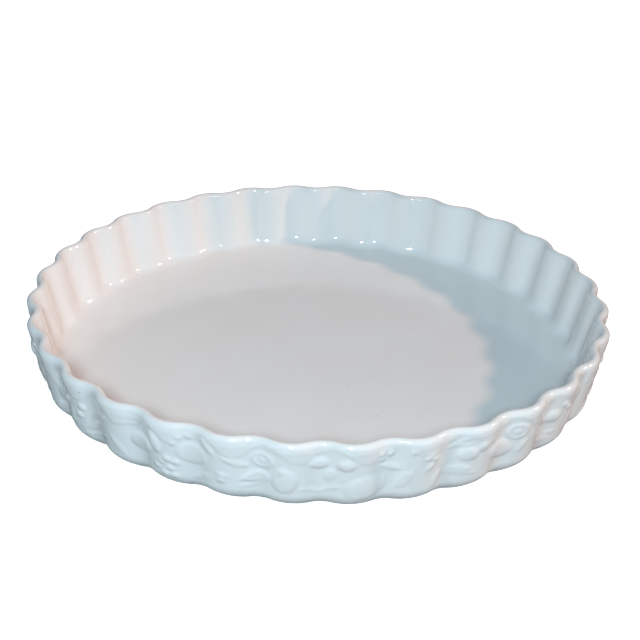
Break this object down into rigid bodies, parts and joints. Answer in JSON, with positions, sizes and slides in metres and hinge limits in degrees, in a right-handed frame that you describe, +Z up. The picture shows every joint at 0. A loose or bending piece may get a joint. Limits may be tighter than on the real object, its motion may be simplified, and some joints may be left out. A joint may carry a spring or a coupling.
{
  "type": "fluted quiche dish",
  "caption": "Round shallow baking dish in white glazed porcelain, with a flared fluted wall, rounded lip, flat floor and bare foot ring.",
  "frame": {"origin": "middle of the plane that the foot ring stands on", "axes": "+Z up along the dish's axis; +Y away from the picture's viewer, +X to the viewer's right"},
  "size_m": [0.2794, 0.2794, 0.037],
  "materials": {
    "lip_glaze": "gloss white glaze over porcelain",
    "wall_glaze": "gloss white glaze over porcelain",
    "floor_glaze": "gloss white glaze over porcelain, a little worn by cutting",
    "bare_porcelain": "unglazed matt porcelain"
  },
  "bodies": {
    "root": {"rolled_lip": "lip_glaze", "fluted_wall": "wall_glaze", "baking_floor": "floor_glaze", "foot_ring": "bare_porcelain"}
  },
  "joints": []
}
